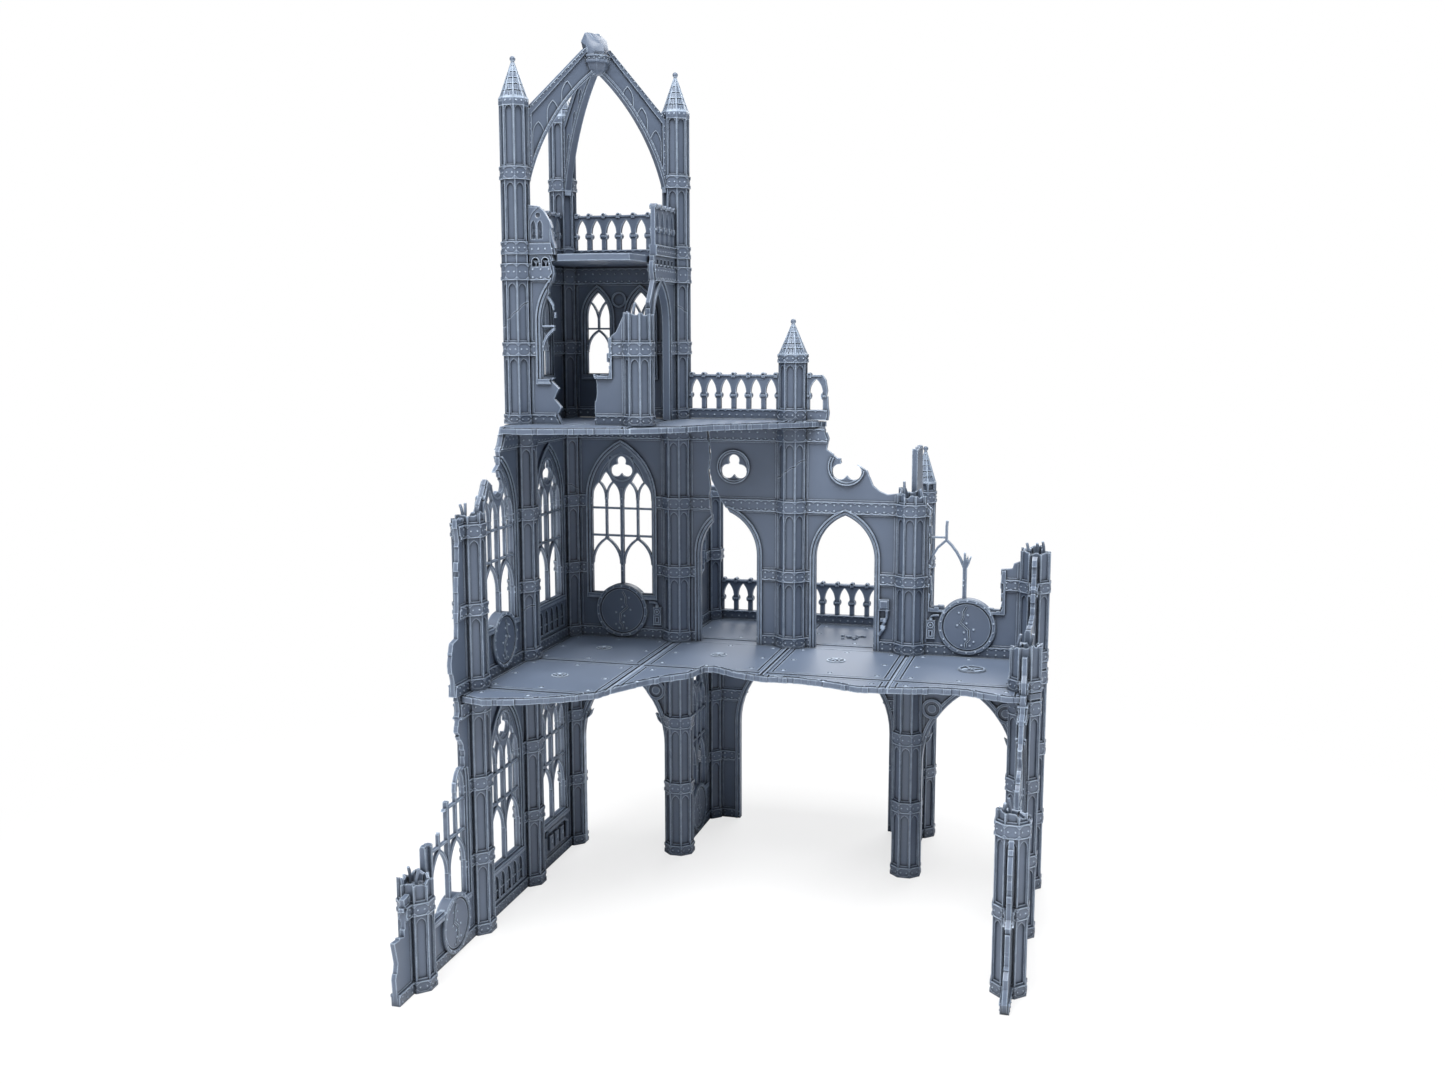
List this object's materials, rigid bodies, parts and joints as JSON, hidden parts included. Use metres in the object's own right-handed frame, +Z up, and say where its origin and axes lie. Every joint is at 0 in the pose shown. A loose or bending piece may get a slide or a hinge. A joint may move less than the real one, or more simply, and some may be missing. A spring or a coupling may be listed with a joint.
{
  "type": "miniature terrain ruin",
  "caption": "Ruined gothic hall for tabletop games: bays of traceried walls between octagonal columns, broken floors, a tower and a belfry crown that lift off by storeys.",
  "frame": {"origin": "ground level under the centre of the back left corner column", "axes": "+X along the back wall to the right, +Y to the back, -Y towards the open front, +Z up"},
  "size_m": [0.2796, 0.295, 0.4542],
  "materials": {
    "grey_styrene": "bare injection-moulded polystyrene, satin, with crisp pale edges"
  },
  "bodies": {
    "ground_storey": {"ground_left_bay_1": "grey_styrene", "ground_left_bay_2": "grey_styrene", "ground_left_bay_3": "grey_styrene", "ground_left_stub": "grey_styrene", "ground_back_arch_left": "grey_styrene", "ground_back_arch_right": "grey_styrene", "ground_right_bay_1": "grey_styrene", "ground_right_bay_2": "grey_styrene", "ground_right_stub": "grey_styrene", "porch_left_wall": "grey_styrene", "porch_right_wall": "grey_styrene", "porch_arch_wall": "grey_styrene", "ground_columns_left": "grey_styrene", "ground_columns_back": "grey_styrene", "ground_columns_right": "grey_styrene", "porch_posts": "grey_styrene", "ground_broken_column_left": "grey_styrene", "ground_broken_column_right": "grey_styrene", "floor_one_left": "grey_styrene", "floor_one_middle": "grey_styrene", "floor_one_right": "grey_styrene", "porch_roof": "grey_styrene", "balcony_rail": "grey_styrene", "balcony_corner_post": "grey_styrene", "balcony_broken_posts": "grey_styrene"},
    "middle_storey": {"middle_left_bay_1": "grey_styrene", "middle_left_bay_2": "grey_styrene", "middle_left_stub": "grey_styrene", "middle_back_bay_1": "grey_styrene", "middle_back_bay_2": "grey_styrene", "middle_back_bay_3": "grey_styrene", "middle_back_bay_4": "grey_styrene", "middle_right_bay_1": "grey_styrene", "middle_columns": "grey_styrene", "middle_broken_column_left": "grey_styrene", "middle_broken_column_back": "grey_styrene", "middle_broken_column_corner": "grey_styrene", "middle_broken_column_right": "grey_styrene", "floor_two_left": "grey_styrene", "floor_two_right": "grey_styrene"},
    "tower_storey": {"tower_front_left_wall": "grey_styrene", "tower_front_right_wall": "grey_styrene", "tower_left_wall": "grey_styrene", "tower_back_wall": "grey_styrene", "tower_right_wall": "grey_styrene", "tower_pillars": "grey_styrene", "tower_broken_pillar": "grey_styrene", "tower_floor": "grey_styrene", "terrace_rail": "grey_styrene", "terrace_post": "grey_styrene", "terrace_broken_rail": "grey_styrene"},
    "belfry_crown": {"crown_pillars": "grey_styrene", "crown_ruined_pillar": "grey_styrene", "crown_ribs": "grey_styrene", "crown_boss": "grey_styrene", "crown_back_rail": "grey_styrene", "crown_left_rail": "grey_styrene", "crown_front_window": "grey_styrene", "crown_right_rail": "grey_styrene"}
  },
  "joints": [
    {"name": "middle_storey_lift", "type": "slide", "parent": "ground_storey", "child": "middle_storey", "axis": [0, 0, 1], "range_m": [0, 0.04]},
    {"name": "tower_storey_lift", "type": "slide", "parent": "middle_storey", "child": "tower_storey", "axis": [0, 0, 1], "range_m": [0, 0.04]},
    {"name": "crown_lift", "type": "slide", "parent": "tower_storey", "child": "belfry_crown", "axis": [0, 0, 1], "range_m": [0, 0.04]}
  ]
}
